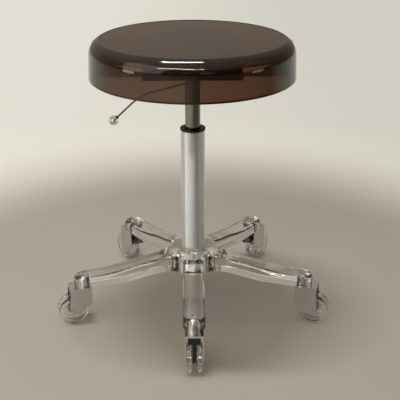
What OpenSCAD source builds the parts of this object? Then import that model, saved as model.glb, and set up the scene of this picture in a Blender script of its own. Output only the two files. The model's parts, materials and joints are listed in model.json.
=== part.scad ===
// Height-adjustable rolling stool: clear bar star base, gas column, smoked seat, twin-wheel casters.
// Z is up, the floor is z = 0, -Y faces the viewer, and the box around the stool is centred on the origin.

/* [Seat] */
// Height of the seat's rounded crest above the floor
seat_top_z = 532; // [500:1:560]
// Diameter of the skirt at its lower rim
seat_d = 370; // [360:1:380]
// How much the skirt leans in over its height, on the radius
skirt_lean = 2; // [1:0.5:3]
// Height of the skirt from rim to crest
skirt_h = 69.4; // [66:0.2:72]
// Wall thickness of the skirt
seat_wall = 14; // [10:0.5:15]
// Thickness of the flat top
seat_slab = 9; // [8:0.5:10]
// Radius of the rounded outer edge
seat_edge_r = 26; // [20:1:28]
// Distance of the fine line round the flat top from the skirt's outer face
seat_line_in = 18.5; // [16:0.5:21]
// Depth of the flat top below that line
seat_dish = 0.8; // [0.4:0.1:1.5]
// Width of the small slope at that line
seat_dish_w = 1.5; // [1:0.1:2]
// Radius of the corner inside the skirt
seat_inner_r = 12; // [8:1:14]
// Radius of the rim's two lower edges
rim_round = 2; // [1:0.5:3]
// Outer radius of the mounting ring under the seat
ring_r = 87; // [85:0.5:90]
// Wall of the mounting ring
ring_wall = 14; // [12:0.5:16]
// Height of the mounting ring below the flat top
ring_h = 21.8; // [20.8:0.2:24]
// Thickness of the two webs from ring to skirt
web_t = 11; // [8:0.5:13]

/* [Mount tray] */
// Depth of the tray, front to back
tray_d = 110; // [104:1:116]
// Height of the tray's flanges
tray_h = 31; // [28:0.5:33]
// Sheet thickness of the tray
tray_t = 3; // [2:0.2:3.4]
// Air between the tray and the seat's webs
web_gap = 0.5; // [0.4:0.1:1]
// Outer radius of the socket for the gas cylinder
socket_r = 18; // [17:0.5:19]
// Length of the socket below the tray plate
socket_h = 30; // [26:0.5:32]
// Distance of the screws from the tray's long sides
screw_edge = 15; // [14:0.5:16]
// Shank radius of the screws
screw_r = 2.5; // [2:0.1:2.6]
// Air round each screw in the tray
screw_gap = 0.25; // [0.2:0.05:0.4]
// Head radius of the screws
screw_head_r = 5; // [4.5:0.1:5.5]
// Head height of the screws
screw_head_h = 3.5; // [3:0.1:4]
// Length of thread above the tray
screw_grip = 9; // [8:0.2:10]
// Outer radius of the threaded inserts
insert_r = 4; // [3.8:0.1:4.4]
// Length of the threaded inserts
insert_h = 11; // [10.5:0.1:12]

/* [Column] */
// Distance of the column axis behind the frame origin
column_y = 22; // [20:0.5:24]
// Outer diameter of the column tube
tube_d = 45; // [44:0.5:46]
// Wall of the column tube
tube_wall = 1.5; // [1.2:0.1:2]
// Height of the top of the tube above the floor
tube_top_z = 361; // [357:1:365]
// Height of the bottom of the tube above the floor
tube_low_z = 70; // [69:0.5:71]
// Thickness of the plate that closes the tube
tube_floor_t = 4; // [3.5:0.1:4.5]
// Outer diameter of the black collar
collar_d = 47; // [46.5:0.1:48]
// Height of the collar above the tube
collar_h = 4.5; // [4:0.5:6]
// Length of the collar inside the tube
collar_plug_h = 21; // [19:0.5:23]
// Length of the guide bush
bush_h = 70; // [64:1:76]
// Air between sliding or turning rounds, on the radius
run_gap = 0.05; // [0.04:0.01:0.07]
// Air between turning faces
face_gap = 0.2; // [0.15:0.05:0.25]

/* [Gas spring] */
// Outer diameter of the chromed gas cylinder
cyl_d = 28; // [27.5:0.1:28.5]
// Wall of the gas cylinder
cyl_wall = 2; // [1.6:0.1:2.4]
// Height of the gas cylinder's lower end above the floor
cyl_low_z = 200; // [196:1:206]
// How far the cylinder stands above the tray plate
cyl_proud = 1; // [0.6:0.1:1.4]
// Thickness of the cylinder's closed top
cyl_head_h = 15; // [14:0.5:17]
// Height of the rod guide in the cylinder's lower end
seal_h = 12; // [10:0.5:14]
// Radius of the piston rod
rod_r = 5; // [4.8:0.1:5.2]
// Radius of the rod's lower end
rod_neck_r = 4; // [3.8:0.1:4.2]
// Length of rod below the tube's closing plate
rod_tail_h = 8; // [7.5:0.1:9]
// Height of the piston's underside above the floor
piston_z = 262; // [258:1:266]
// Height of the piston
piston_h = 14; // [12:0.5:16]
// Thickness of each bearing race
race_h = 2.5; // [2:0.1:2.8]
// Outer radius of the bearing races
race_r = 14; // [13:0.2:15]
// Height of the bearing's ball cage
cage_h = 4; // [3.5:0.1:4.5]
// Outer radius of the ball cage
cage_r = 12.5; // [12:0.1:12.8]
// Inner radius of the ball cage
cage_bore_r = 6.5; // [6:0.1:7]
// Thickness of the washer under the column
washer_h = 2; // [1.8:0.1:2.2]
// Outer radius of the washer
washer_r = 9; // [8.5:0.1:9.5]
// Thickness of the retaining clip
clip_h = 1.2; // [1:0.1:1.4]
// Outer radius of the retaining clip
clip_r = 7.5; // [7:0.1:8]
// Depth of the rod's groove for the clip
groove_t = 0.8; // [0.6:0.1:1]
// Width of the clip's mouth
clip_mouth = 5; // [4.5:0.1:5.5]

/* [Lever] */
// Distance of the lever behind the column axis
lever_y = 24; // [23:0.5:25]
// Radius of the lever's rod
lever_r = 1.75; // [1.6:0.05:2]
// Distance of the pivot to the left of the column axis
pivot_x = 9; // [8.5:0.1:9.5]
// Height of the pivot above the tray plate
pivot_h = 9; // [8.8:0.1:9.4]
// Radius of the pivot pin
pivot_r = 2; // [1.8:0.1:2.2]
// Outer radius of the sleeve on the pivot
sleeve_r = 3.6; // [3.4:0.1:3.8]
// Thickness of the tab that presses the valve pin
tab_t = 2.5; // [2.2:0.1:2.8]
// Reach of that tab past the column axis
tab_reach = 4; // [3.5:0.5:5]
// Width of that tab
tab_w = 8; // [7:0.5:9]
// Distance of the front lug from the column axis
lug_front_y = 19; // [18.5:0.1:19.5]
// Distance of the rear lug from the column axis
lug_rear_y = 31; // [30:0.1:31.5]
// Thickness of the two lugs
lug_t = 2; // [1.8:0.1:2.2]
// Width of the two lugs
lug_w = 10; // [9:0.5:11]
// Air beside the sleeve
lug_gap = 0.6; // [0.5:0.1:0.8]
// Depth of the lever's inner elbow below the seat's rim
elbow_drop = 19.4; // [18:0.2:20.6]
// Run of the elbow's slope
elbow_run = 4; // [3:0.5:5]
// Depth of that slope's foot below the elbow
elbow_sag = 1; // [0.6:0.2:2]
// Distance of the lever's middle bend from the column axis
bend_x = 86; // [84:0.5:88]
// Depth of the middle bend below the seat's rim
bend_drop = 39.2; // [37:0.2:41]
// Distance of the outer bend
drop_x = 108.4; // [106:0.2:110]
// Depth of the outer bend below the seat's rim
end_drop = 54.8; // [53:0.2:57]
// Distance of the knob
knob_x = 146.9; // [144:0.1:149]
// Depth of the knob below the seat's rim
knob_drop = 91.2; // [89:0.2:93]
// Radius of the clear knob
knob_r = 9.2; // [8.5:0.1:10]
// Radius of the small metal ball inside it
tip_r = 3.8; // [3.4:0.1:4.2]
// Air round the rod in the ball and the knob
bond_gap = 0.2; // [0.1:0.05:0.3]
// Radius of the valve pin
valve_r = 3.5; // [3.2:0.1:3.8]
// Length of the valve pin
valve_h = 13; // [12:0.5:14]
// Air between the tab and the valve pin
valve_gap = 0.25; // [0.2:0.05:0.3]
// Room for the valve pin below its end
valve_room = 3; // [2.5:0.5:4]

/* [Star base] */
// Distance of the caster stems from the column axis
stem_r = 217.5; // [214:0.5:221]
// Width of the arms
arm_w = 40; // [38:0.5:42]
// Radius of the fillets between arms
fillet_r = 16; // [14:0.5:18]
// How far the fillets bite into the arms' sides
fillet_bite = 0.1; // [0.05:0.05:0.2]
// Height of the hub's raised top above the floor
hub_top_z = 125.5; // [124:0.5:127]
// Radius of the hub's raised top
hub_top_r = 33.8; // [32:0.2:36]
// Height of that raised top over the arms
hub_step = 1.5; // [1:0.1:2]
// Width of the slope at its edge
hub_step_w = 0.8; // [0.6:0.1:1]
// Height of the arms' level outer part
arm_tip_z = 96.5; // [96:0.5:98]
// Radius where the arms become level
arm_level_r = 190; // [186:1:194]
// Underside height at the arms' outer part
arm_low_z = 75.5; // [75:0.1:75.8]
// Underside height at the arch of the arms
arm_arch_z = 84.5; // [82:0.5:86]
// Radius where the arch of the underside ends
arch_end_r = 140; // [136:1:144]
// Radius where the arch of the underside begins
arch_begin_r = 33; // [32:0.5:34]
// Radius of the boss under the hub
hub_boss_r = 30; // [29:0.5:31]
// Underside height of that boss
hub_boss_z = 72; // [71.5:0.5:73]

/* [Casters] */
// Radius of the wheels
wheel_r = 27.5; // [27:0.25:28]
// Width of one wheel
wheel_w = 9.4; // [9:0.1:9.8]
// Distance of the axle behind the stem
trail = 26; // [25:0.5:27]
// Half width of the space between the two wheels
wheel_in_y = 4.2; // [4:0.1:4.4]
// Width of the wheel's rim, on the radius
rim_w = 6; // [5:0.5:7]
// Radius of the rim's edges
tread_round = 2.4; // [2:0.2:3]
// Thickness of the wheel's disc
disc_t = 4; // [3:0.5:5]
// Radius of the wheel's hub
wheel_hub_r = 7; // [6.5:0.5:8]
// Number of radial ribs in each wheel
rib_count = 20; // [12:2:24]
// Thickness of those ribs
rib_t = 1.4; // [1:0.1:1.8]
// How far the ribs stand over the disc
rib_h = 3.6; // [3:0.2:4.2]
// Radius of the axle
axle_r = 3; // [2.8:0.1:3.2]
// Half width of the hood
hood_half = 16; // [15.9:0.1:16.4]
// Thickness of the hood's side plates
hood_side_t = 2; // [1.8:0.1:2.2]
// Thickness of the hood's top
hood_top_t = 4; // [3.5:0.1:4.5]
// Air between the hood and the arm above it
hood_gap = 0.8; // [0.6:0.1:0.9]
// Length of the hood before the stem
hood_back = 9.5; // [9:0.5:10]
// Length of the hood behind the stem
hood_front = 31.5; // [30.5:0.5:32.5]
// Height of the hood's end edge
hood_lip_h = 14.5; // [13:0.5:16]
// Extra length of the side plates at the axle
hood_cheek = 2.5; // [2:0.5:3]
// Radius of the side plates round the axle
cheek_r = 7; // [6.5:0.5:8]
// Height of the side plates' inner corner above the axle
cheek_rise = 10.5; // [9:0.5:12]
// Half width of the black core above the wheels
core_half = 10.8; // [10.4:0.1:11.2]
// Half thickness of the core's web between the wheels
core_web_half = 3.7; // [3.4:0.1:3.75]
// Air above the wheels
core_gap = 2; // [1.5:0.1:2.5]
// Height of the core's sloped top edges
core_slope_h = 5; // [4:0.5:6]
// Width of the core's sloped top edges
core_slope_w = 4; // [3:0.5:5]
// Radius of the core round the axle
core_eye_r = 9; // [8:0.5:10]
// Set-back of the core's ends inside the hood
core_inset = 1; // [0.5:0.5:2]
// Radius of the caster stem
stem_pin_r = 5.5; // [5.2:0.1:5.8]
// Length of stem inside the arm
stem_up = 16; // [15:0.5:17]
// Length of stem inside the core
stem_down = 10; // [8:0.5:11]
// Outer radius of the sleeve in the arm
grip_r = 7.5; // [7.2:0.1:8]
// Material of the arm over the stem
arm_roof = 3.5; // [3:0.1:4]

/* [Hidden] */
$fn = 96;
tab_sink_share = 0.02;
elbow_share = 1.04;
caster_names = ["front", "right", "back_right", "back_left", "left"];
caster_parts = ["stem", "sleeve", "core", "hood", "axle", "wheel_a", "wheel_b"];
arm_count = len(caster_names);
arm_turn = 360 / arm_count;
arm_angles = [for (i = [0 : arm_count - 1]) i * arm_turn - 90];
slope_r_shares = [0, 0.115, 0.231, 0.359, 0.487, 0.615, 0.744, 0.872, 1];
slope_z_shares = [1, 0.77, 0.582, 0.45, 0.352, 0.235, 0.127, 0.045, 0];
arch_r_shares = [0, 0.11, 0.25, 0.39, 0.53, 0.67, 0.83, 1];
arch_z_shares = [0.4, 0.72, 0.94, 1, 0.89, 0.61, 0.28, 0];

seat_r = seat_d / 2;
rim_z = seat_top_z - skirt_h;
seat_arc_z = seat_top_z - seat_edge_r;
seat_side_r = seat_r - skirt_lean;
seat_arc_r = seat_side_r - seat_edge_r;
seat_line_r = seat_side_r - seat_line_in;
seat_line_a = acos((seat_edge_r - seat_line_in) / seat_edge_r);
seat_face_z = seat_arc_z + seat_edge_r * sin(seat_line_a) - seat_dish;
slab_low_z = seat_face_z - seat_slab;
skirt_in_r = seat_r - seat_wall;
skirt_in_top_r = seat_side_r - seat_wall;
ring_low_z = slab_low_z - ring_h;
ring_in_r = ring_r - ring_wall;
screw_ring_r = ring_r - ring_wall / 2;
screw_turn = asin((tray_d / 2 - screw_edge) / screw_ring_r);
screw_angles = [screw_turn, 180 - screw_turn, 180 + screw_turn, 360 - screw_turn];

tray_w = 2 * ring_r;
tray_top_z = ring_low_z;
tray_low_z = tray_top_z - tray_h;
plate_low_z = tray_top_z - tray_t;
socket_low_z = plate_low_z - socket_h;
web_in_x = tray_w / 2 + web_gap;

tube_r = tube_d / 2;
tube_in_r = tube_r - tube_wall;
collar_r = collar_d / 2;
cyl_r = cyl_d / 2;
cyl_in_r = cyl_r - cyl_wall;
cyl_top_z = tray_top_z + cyl_proud;
tube_floor_z = tube_low_z + tube_floor_t;
cage_z = tube_floor_z + race_h;
top_race_z = cage_z + cage_h + face_gap;
rod_step_z = top_race_z + race_h;
washer_z = tube_low_z - face_gap - washer_h;
clip_z = washer_z - clip_h;
rod_low_z = tube_low_z - rod_tail_h;
clip_in_r = rod_neck_r - groove_t;

pivot_z = tray_top_z + pivot_h;
bore_r = lever_r + bond_gap;
elbow_z = rim_z - elbow_drop;
elbow_foot_z = elbow_z - elbow_sag;
bend_z = rim_z - bend_drop;
drop_z = rim_z - end_drop;
knob_z = rim_z - knob_drop;
sleeve_from_y = lug_t + lug_gap - lug_front_y;
sleeve_to_y = lug_rear_y - lug_t - lug_gap;
tab_low_z = pivot_z - sleeve_r + (sleeve_r - tab_t) * tab_sink_share;
valve_top_z = tab_low_z - valve_gap;
valve_low_z = valve_top_z - valve_h;

hood_top_z = arm_low_z - hood_gap;
hood_low_z = hood_top_z - hood_top_t;
lip_z = hood_top_z - hood_lip_h;
core_low_z = 2 * wheel_r + core_gap;
stem_top_z = arm_low_z + stem_up;
stem_low_z = hood_low_z - stem_down;
socket_top_z = arm_tip_z - arm_roof;
arm_end_r = arm_w / 2;
fillet_at = (arm_end_r + fillet_r) / sin(arm_turn / 2);
past = arm_tip_z;

function arc(cx, cy, r, a0, a1, n) =
    [for (i = [0 : n]) let (a = a0 + (a1 - a0) * i / n) [cx + r * cos(a), cy + r * sin(a)]];

module at_column() {
    translate([0, column_y, 0])
        children();
}

module at_arm(i) {
    at_column()
        rotate([0, 0, arm_angles[i]])
            children();
}

module at_caster(i) {
    at_arm(i)
        translate([stem_r, 0, 0])
            children();
}

module round_bar(r, from_z, to_z) {
    translate([0, 0, from_z])
        cylinder(r = r, h = to_z - from_z);
}

module tube(r, bore, from_z, to_z) {
    difference() {
        round_bar(r, from_z, to_z);
        round_bar(bore, from_z - past, to_z + past);
    }
}

module bar_y(r, x, z, from_y, to_y) {
    translate([x, from_y, z])
        rotate([-90, 0, 0])
            cylinder(r = r, h = to_y - from_y);
}

module slab_y(from_y, to_y) {
    translate([0, to_y, 0])
        rotate([90, 0, 0])
            linear_extrude(to_y - from_y)
                children();
}

module box_to(low, high) {
    translate(low)
        cube(high - low);
}

module rod_between(a, b, r) {
    d = b - a;
    run = norm([d[0], d[1]]);
    translate(a)
        rotate([0, atan2(run, d[2]), atan2(d[1], d[0])])
            cylinder(r = r, h = norm(d));
}

// The cast seat: flat top, rounded edge, leaning skirt, mounting ring and two webs.
module seat_shell() {
    color([0.25, 0.17, 0.12, 0.8])
        at_column() {
            difference() {
                union() {
                    rotate_extrude()
                        polygon(concat(
                            [[0, seat_face_z], [0, slab_low_z]],
                            [[skirt_in_top_r - seat_inner_r, slab_low_z]],
                            arc(skirt_in_top_r - seat_inner_r, slab_low_z - seat_inner_r,
                                seat_inner_r, 80, 0, 6),
                            arc(skirt_in_r + rim_round, rim_z + rim_round, rim_round, 180, 270, 4),
                            arc(seat_r - rim_round, rim_z + rim_round, rim_round, 270, 360, 4),
                            arc(seat_arc_r, seat_arc_z, seat_edge_r, 0, seat_line_a, 12),
                            [[seat_line_r - seat_dish_w, seat_face_z]]
                        ));
                    tube(ring_r, ring_in_r, ring_low_z, slab_low_z + seat_slab / 2);
                    for (s = [0, 180])
                        rotate([0, 0, s]) {
                            box_to([web_in_x, -web_t / 2, rim_z],
                                   [skirt_in_top_r + seat_wall / 4, web_t / 2, slab_low_z + seat_slab / 2]);
                            box_to([ring_in_r + ring_wall / 2, -web_t / 2, ring_low_z],
                                   [web_in_x + web_t, web_t / 2, slab_low_z + seat_slab / 2]);
                        }
                }
                for (a = screw_angles)
                    rotate([0, 0, a])
                        translate([screw_ring_r, 0, 0])
                            round_bar(insert_r, ring_low_z - ring_h, ring_low_z + insert_h);
            }
        }
}

// The pressed steel tray bolted under the ring, with two bent-up lugs for the lever's pivot.
module seat_tray() {
    color([0.06, 0.06, 0.06])
        at_column() {
            difference() {
                box_to([-tray_w / 2, -tray_d / 2, tray_low_z], [tray_w / 2, tray_d / 2, tray_top_z]);
                box_to([tray_t - tray_w / 2, tray_t - tray_d / 2, tray_low_z - past],
                       [tray_w / 2 - tray_t, tray_d / 2 - tray_t, plate_low_z]);
                round_bar(cyl_r, tray_low_z, tray_top_z + past);
                for (a = screw_angles)
                    rotate([0, 0, a])
                        translate([screw_ring_r, 0, 0])
                            round_bar(screw_r + screw_gap, tray_low_z, tray_top_z + past);
                box_to([-pivot_x - 2 * sleeve_r, lever_y - sleeve_r, tray_low_z],
                       [sleeve_r - pivot_x, lever_y + sleeve_r, tray_top_z + past]);
            }
            for (y = [-lug_front_y, lug_rear_y - lug_t])
                difference() {
                    box_to([-pivot_x - lug_w / 2, y, tray_top_z - tray_t / 2],
                           [lug_w / 2 - pivot_x, y + lug_t, pivot_z + lug_w / 2]);
                    bar_y(pivot_r, -pivot_x, pivot_z, y - lug_t, y + 2 * lug_t);
                }
        }
}

// The socket welded under the tray that grips the gas cylinder.
module cylinder_socket() {
    color([0.1, 0.1, 0.1])
        at_column()
            tube(socket_r, cyl_r, socket_low_z, plate_low_z);
}

// The four screws that hold the tray to the seat.
module tray_screws() {
    color([0.7, 0.7, 0.72])
        at_column()
            for (a = screw_angles)
                rotate([0, 0, a])
                    translate([screw_ring_r, 0, 0]) {
                        round_bar(screw_r, plate_low_z - screw_head_h / 2, tray_top_z + screw_grip);
                        round_bar(screw_head_r, plate_low_z - screw_head_h, plate_low_z);
                    }
}

// The four threaded inserts cast into the ring.
module tray_inserts() {
    color([0.75, 0.6, 0.3])
        at_column()
            for (a = screw_angles)
                rotate([0, 0, a])
                    translate([screw_ring_r, 0, 0])
                        tube(insert_r, screw_r, ring_low_z, ring_low_z + insert_h);
}

// The pin the lever turns on.
module pivot_pin() {
    color([0.7, 0.7, 0.72])
        at_column()
            bar_y(pivot_r, -pivot_x, pivot_z, -lug_front_y - lug_t / 2, lug_rear_y + lug_t / 2);
}

// The chromed cylinder: hollow, closed at the top round the valve pin.
module gas_cylinder() {
    color([0.8, 0.8, 0.82])
        at_column()
            difference() {
                round_bar(cyl_r, cyl_low_z, cyl_top_z);
                round_bar(cyl_in_r, cyl_low_z - past, cyl_top_z - cyl_head_h);
                round_bar(valve_r + run_gap, valve_low_z - valve_room, cyl_top_z + past);
            }
}

// The guide and seal in the cylinder's lower end.
module rod_guide() {
    color([0.1, 0.1, 0.1])
        at_column()
            tube(cyl_in_r, rod_r + run_gap, cyl_low_z, cyl_low_z + seal_h);
}

// The piston on top of the rod, inside the cylinder.
module piston() {
    color([0.6, 0.6, 0.62])
        at_column()
            tube(cyl_in_r - run_gap, rod_neck_r, piston_z, piston_z + piston_h);
}

// The rod: it hangs in the column's closing plate and carries the piston.
module piston_rod() {
    color([0.8, 0.8, 0.82])
        at_column()
            difference() {
                union() {
                    round_bar(rod_neck_r, rod_low_z, rod_step_z + rod_r);
                    round_bar(rod_r, rod_step_z, piston_z);
                    round_bar(rod_neck_r, piston_z - rod_r, piston_z + piston_h);
                }
                tube(rod_r, clip_in_r, clip_z, clip_z + clip_h);
            }
}

// The upper race of the thrust bearing, under the rod's step.
module bearing_upper_race() {
    color([0.65, 0.65, 0.67])
        at_column()
            tube(race_r, rod_neck_r, top_race_z, rod_step_z);
}

// The lower race of the thrust bearing, on the column's closing plate.
module bearing_lower_race() {
    color([0.65, 0.65, 0.67])
        at_column()
            tube(race_r, rod_neck_r + 4 * run_gap, tube_floor_z, cage_z);
}

// The ring of balls in its cage, drawn as one ring.
module bearing_cage() {
    color([0.75, 0.6, 0.3])
        at_column()
            tube(cage_r, cage_bore_r, cage_z, cage_z + cage_h);
}

// The washer under the column.
module rod_washer() {
    color([0.65, 0.65, 0.67])
        at_column()
            tube(washer_r, rod_neck_r, washer_z, washer_z + washer_h);
}

// The clip that holds the rod in the column.
module rod_clip() {
    color([0.3, 0.3, 0.3])
        at_column()
            difference() {
                tube(clip_r, clip_in_r, clip_z, clip_z + clip_h);
                box_to([0, -clip_mouth / 2, clip_z - clip_h],
                       [clip_r + clip_h, clip_mouth / 2, clip_z + 2 * clip_h]);
            }
}

// The outer tube, closed at the bottom round the rod.
module column_tube() {
    color([0.75, 0.76, 0.78])
        at_column()
            difference() {
                round_bar(tube_r, tube_low_z, tube_top_z);
                round_bar(tube_in_r, tube_floor_z, tube_top_z + past);
                round_bar(rod_neck_r + run_gap, tube_low_z - past, tube_floor_z + past);
            }
}

// The black collar plugged into the top of the tube.
module column_collar() {
    color([0.05, 0.05, 0.05])
        at_column()
            difference() {
                union() {
                    round_bar(collar_r, tube_top_z, tube_top_z + collar_h);
                    round_bar(tube_in_r, tube_top_z - collar_plug_h, tube_top_z + collar_h / 2);
                }
                round_bar(cyl_r + 2 * run_gap, tube_top_z - past, tube_top_z + past);
            }
}

// The bush that guides the gas cylinder inside the tube.
module guide_bush() {
    color([0.85, 0.85, 0.8])
        at_column()
            tube(tube_in_r, cyl_r + run_gap, tube_top_z - collar_plug_h - bush_h, tube_top_z - collar_plug_h);
}

// The lever: a bent rod that rises behind the column to a sleeve with a pressing tab.
module lever_rod() {
    points = [
        [-knob_x, lever_y, knob_z],
        [-drop_x, lever_y, drop_z],
        [-bend_x, lever_y, bend_z],
        [-pivot_x - elbow_run, lever_y, elbow_foot_z],
        [-pivot_x, lever_y, elbow_z + elbow_run],
        [-pivot_x, lever_y, pivot_z - (sleeve_r + pivot_r) / 2]
    ];
    color([0.7, 0.7, 0.72])
        at_column() {
            for (i = [0 : len(points) - 2])
                rod_between(points[i], points[i + 1], lever_r);
            for (i = [1 : len(points) - 2])
                translate(points[i])
                    sphere(r = lever_r * elbow_share);
            difference() {
                union() {
                    bar_y(sleeve_r, -pivot_x, pivot_z, sleeve_from_y, sleeve_to_y);
                    box_to([-pivot_x, -tab_w / 2, tab_low_z], [tab_reach, tab_w / 2, tab_low_z + tab_t]);
                }
                bar_y(pivot_r + run_gap, -pivot_x, pivot_z, sleeve_from_y - lug_t, sleeve_to_y + lug_t);
            }
        }
}

// Turns what lies along Z to lie along the lever's end, at the knob's centre.
module on_lever_end() {
    translate([-knob_x, lever_y, knob_z])
        rotate([0, atan2(knob_x - drop_x, drop_z - knob_z), 0])
            children();
}

// The small metal ball on the lever's end, bored for the rod.
module lever_tip() {
    color([0.8, 0.8, 0.82])
        at_column()
            on_lever_end()
                rotate_extrude()
                    polygon(concat(
                        arc(0, 0, tip_r, -90, acos(bore_r / tip_r), 12),
                        [[bore_r, -bond_gap], [0, -bond_gap]]
                    ));
}

// The clear knob cast round that ball.
module lever_knob() {
    color([0.9, 0.95, 1, 0.5])
        at_column()
            on_lever_end()
                rotate_extrude()
                    polygon(concat(
                        arc(0, 0, knob_r, -90, acos(bore_r / knob_r), 18),
                        arc(0, 0, tip_r, acos(bore_r / tip_r), -90, 12)
                    ));
}

// The pin on the cylinder's top that opens the gas valve.
module valve_pin() {
    color([0.6, 0.6, 0.62])
        at_column()
            rotate_extrude()
                polygon(concat(
                    [[0, valve_low_z], [valve_r, valve_low_z]],
                    arc(0, valve_top_z - valve_r, valve_r, 0, 90, 10)
                ));
}

// The star: five clear bars that meet in a hub, cut to one revolved outline.
module star_base() {
    span = arm_level_r - hub_top_r - hub_step_w;
    fall = hub_top_z - hub_step - arm_tip_z;
    top = [for (i = [0 : len(slope_r_shares) - 1])
        [hub_top_r + hub_step_w + span * slope_r_shares[i], arm_tip_z + fall * slope_z_shares[i]]];
    low = [for (i = [len(arch_r_shares) - 1 : -1 : 0])
        [arch_begin_r + (arch_end_r - arch_begin_r) * arch_r_shares[i],
         arm_low_z + (arm_arch_z - arm_low_z) * arch_z_shares[i]]];
    reach = stem_r + arm_end_r + arm_w;
    color([0.85, 0.9, 0.92, 0.5])
        at_column()
            difference() {
                intersection() {
                    linear_extrude(hub_top_z + arm_w)
                        difference() {
                            union() {
                                for (a = arm_angles)
                                    rotate([0, 0, a]) {
                                        translate([0, -arm_end_r])
                                            square([stem_r, arm_w]);
                                        translate([stem_r, 0])
                                            circle(r = arm_end_r);
                                    }
                                polygon([for (a = arm_angles)
                                    fillet_at * [cos(a + arm_turn / 2), sin(a + arm_turn / 2)]]);
                            }
                            for (a = arm_angles)
                                rotate([0, 0, a + arm_turn / 2])
                                    translate([fillet_at, 0])
                                        circle(r = fillet_r + fillet_bite);
                        }
                    rotate_extrude()
                        polygon(concat(
                            [[0, hub_boss_z], [0, hub_top_z], [hub_top_r, hub_top_z]],
                            top,
                            [[reach, arm_tip_z], [reach, arm_low_z]],
                            low,
                            [[hub_boss_r, hub_boss_z]]
                        ));
                }
                round_bar(tube_r, hub_boss_z - arm_w, hub_top_z + arm_w);
                for (a = arm_angles)
                    rotate([0, 0, a])
                        translate([stem_r, 0, 0])
                            round_bar(grip_r, arm_low_z - arm_w, socket_top_z);
            }
}

// The steel stem a caster swivels on.
module caster_stem(i) {
    color([0.7, 0.7, 0.72])
        at_caster(i)
            round_bar(stem_pin_r, stem_low_z, stem_top_z);
}

// The sleeve pressed into the arm round the stem.
module caster_sleeve(i) {
    color([0.75, 0.76, 0.78])
        at_caster(i)
            tube(grip_r, stem_pin_r + run_gap, arm_low_z, socket_top_z);
}

// The black core: a block over the wheels and a web between them.
module caster_core(i) {
    color([0.04, 0.04, 0.04])
        at_caster(i)
            difference() {
                union() {
                    translate([core_inset - hood_back, 0, 0])
                        rotate([90, 0, 90])
                            linear_extrude(hood_back + hood_front - 2 * core_inset)
                                polygon([
                                    [-core_half, core_low_z],
                                    [core_half, core_low_z],
                                    [core_half, hood_low_z - core_slope_h],
                                    [core_half - core_slope_w, hood_low_z],
                                    [core_slope_w - core_half, hood_low_z],
                                    [-core_half, hood_low_z - core_slope_h]
                                ]);
                    slab_y(-core_web_half, core_web_half) {
                        translate([trail, wheel_r])
                            circle(r = core_eye_r);
                        polygon([
                            [core_inset - hood_back, core_low_z + core_gap],
                            [core_inset - hood_back, core_low_z - core_gap],
                            [trail - core_eye_r, wheel_r],
                            [trail + core_eye_r, wheel_r],
                            [hood_front - core_inset, core_low_z - core_gap],
                            [hood_front - core_inset, core_low_z + core_gap]
                        ]);
                    }
                }
                bar_y(axle_r, trail, wheel_r, -hood_half, hood_half);
                round_bar(stem_pin_r, stem_low_z, hood_top_z);
            }
}

// The chromed hood over the wheels.
module caster_hood(i) {
    color([0.8, 0.8, 0.82])
        at_caster(i)
            difference() {
                union() {
                    box_to([-hood_back, -hood_half, hood_low_z], [hood_front, hood_half, hood_top_z]);
                    for (y = [-hood_half, hood_half - hood_side_t])
                        slab_y(y, y + hood_side_t)
                            polygon(concat(
                                [[-hood_back, hood_top_z], [-hood_back, wheel_r + cheek_rise]],
                                arc(trail, wheel_r, cheek_r, 250, 360, 8),
                                [[hood_front + hood_cheek, wheel_r + cheek_rise]],
                                [[hood_front, lip_z], [hood_front, hood_top_z]]
                            ));
                }
                bar_y(axle_r, trail, wheel_r, -hood_half - axle_r, hood_half + axle_r);
                round_bar(stem_pin_r, hood_low_z - arm_w, hood_top_z + arm_w);
            }
}

// The steel axle through hood, core and wheels.
module caster_axle(i) {
    color([0.7, 0.7, 0.72])
        at_caster(i)
            bar_y(axle_r, trail, wheel_r, -hood_half, hood_half);
}

// One clear wheel: rim, disc with radial ribs, hub. side is 1 or -1.
module caster_wheel(i, side) {
    color([0.88, 0.92, 0.94, 0.5])
        at_caster(i)
            translate([trail, side * wheel_in_y, wheel_r])
                rotate([-90 * side, 0, 0]) {
                    rotate_extrude()
                        polygon(concat(
                            [[axle_r + run_gap, 0]],
                            arc(wheel_r - tread_round, tread_round, tread_round, 270, 360, 5),
                            arc(wheel_r - tread_round, wheel_w - tread_round, tread_round, 0, 90, 5),
                            [[wheel_r - rim_w, wheel_w], [wheel_r - rim_w, disc_t]],
                            [[wheel_hub_r, disc_t], [wheel_hub_r, wheel_w], [axle_r + run_gap, wheel_w]]
                        ));
                    for (k = [0 : rib_count - 1])
                        rotate([0, 0, k * 360 / rib_count])
                            translate([wheel_hub_r - rib_t, -rib_t / 2, disc_t / 2])
                                cube([wheel_r - rim_w - wheel_hub_r + 2 * rib_t, rib_t, rib_h + disc_t / 2]);
                }
}

star_base();
column_tube();
column_collar();
guide_bush();
bearing_lower_race();
bearing_cage();
piston_rod();
piston();
bearing_upper_race();
rod_washer();
rod_clip();
seat_shell();
seat_tray();
cylinder_socket();
tray_screws();
tray_inserts();
pivot_pin();
gas_cylinder();
rod_guide();
lever_rod();
lever_tip();
lever_knob();
valve_pin();
for (i = [0 : arm_count - 1]) {
    caster_stem(i);
    caster_sleeve(i);
    caster_core(i);
    caster_hood(i);
    caster_axle(i);
    caster_wheel(i, 1);
    caster_wheel(i, -1);
}
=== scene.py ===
import json
import math

import bpy
from mathutils import Matrix, Vector


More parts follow.
